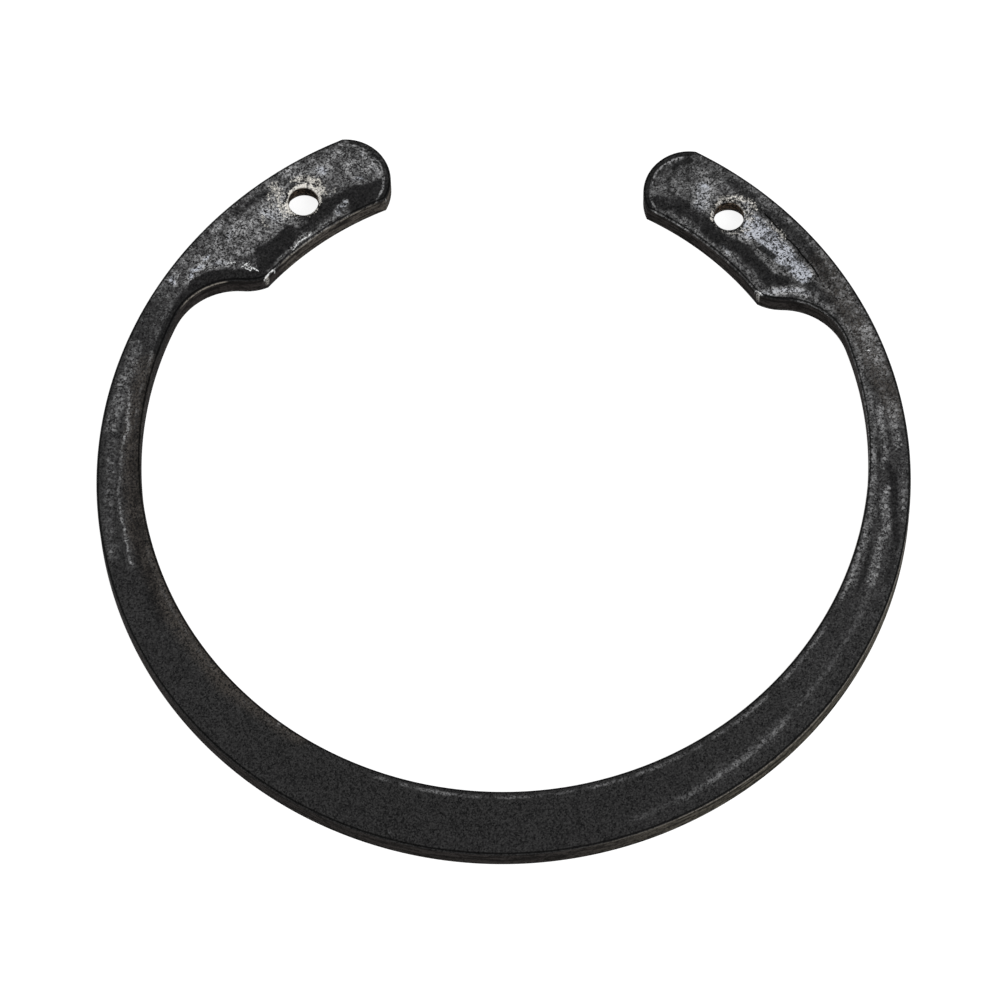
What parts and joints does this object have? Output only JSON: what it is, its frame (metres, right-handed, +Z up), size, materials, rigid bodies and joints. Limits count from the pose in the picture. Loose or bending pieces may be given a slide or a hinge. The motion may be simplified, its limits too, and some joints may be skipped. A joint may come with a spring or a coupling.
{
  "type": "internal retaining ring",
  "caption": "Flat internal retaining ring of black spring steel: an open band that tapers towards two wide lugs, each with a hole for circlip pliers.",
  "frame": {"origin": "centre of the round outer edge, on the lower face", "axes": "+Z up through the ring's thickness, from the sharp lower face to the upper face with its rolled edges; +Y towards the gap, half-way between the two lugs; +X towards the right lug seen from above"},
  "size_m": [0.0764, 0.0725, 0.0025],
  "materials": {
    "phosphated_steel": "thin black phosphate on spring steel, satin, with fine grey mottling and light scuffs"
  },
  "bodies": {
    "root": {"retaining_ring": "phosphated_steel"}
  },
  "joints": []
}
